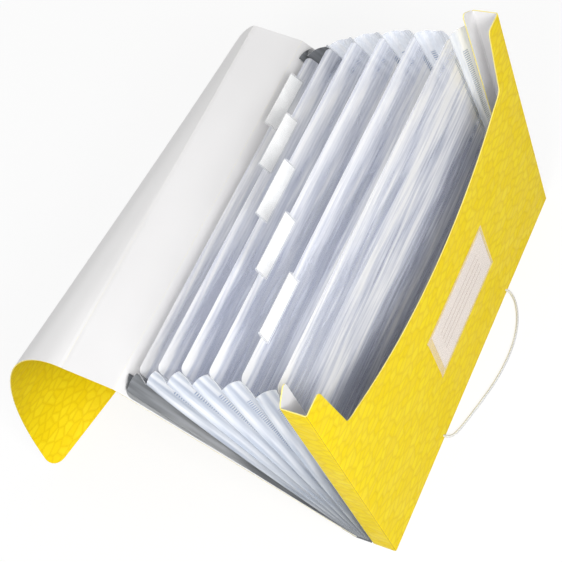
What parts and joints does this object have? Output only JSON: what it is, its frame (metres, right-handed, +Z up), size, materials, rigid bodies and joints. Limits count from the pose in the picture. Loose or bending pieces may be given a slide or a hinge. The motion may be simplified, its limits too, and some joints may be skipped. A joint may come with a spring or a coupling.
{
  "type": "expanding file folder",
  "caption": "Expanding file folder standing open like a fan, with a notched front pocket, film dividers with index tabs, pleated film gussets and a hinged cover flap.",
  "frame": {"origin": "centre of the front pocket's bottom face", "axes": "+X along the folder's width, +Y from the front pocket towards the back cover, +Z up"},
  "size_m": [0.3594, 0.3476, 0.238],
  "materials": {
    "yellow_sheet": "satin embossed polypropylene sheet, yellow outside and white inside",
    "clear_film": "clear, slightly milky film",
    "gusset_film": "milky film with fine weld lines",
    "label_card": "uncoated white card",
    "elastic": "braided elastic cord, light grey",
    "cord_stop": "moulded plastic"
  },
  "bodies": {
    "folder": {"front_pocket": "yellow_sheet", "back_cover": "yellow_sheet", "front_panel": "clear_film", "divider_1": "clear_film", "tab_holder_1": "clear_film", "tab_card_1": "label_card", "divider_2": "clear_film", "tab_holder_2": "clear_film", "tab_card_2": "label_card", "divider_3": "clear_film", "tab_holder_3": "clear_film", "tab_card_3": "label_card", "divider_4": "clear_film", "tab_holder_4": "clear_film", "tab_card_4": "label_card", "divider_5": "clear_film", "tab_holder_5": "clear_film", "tab_card_5": "label_card", "left_gusset": "gusset_film", "right_gusset": "gusset_film", "bottom_gusset": "gusset_film", "label_sleeve": "clear_film", "label_card": "label_card", "elastic_cord": "elastic", "cord_stop_left": "cord_stop", "cord_stop_right": "cord_stop"},
    "flap_spine": {"flap_spine": "yellow_sheet"},
    "flap": {"flap": "yellow_sheet"}
  },
  "joints": [
    {"name": "spine_hinge", "type": "hinge", "parent": "folder", "child": "flap_spine", "pos_m": [0, 0.17287, 0.16358], "axis": [1, 0, 0], "range_deg": [-15, 100]},
    {"name": "flap_hinge", "type": "hinge", "parent": "flap_spine", "child": "flap", "pos_m": [0, 0.2145, 0.17434], "axis": [1, 0, 0], "range_deg": [-20, 40]}
  ]
}
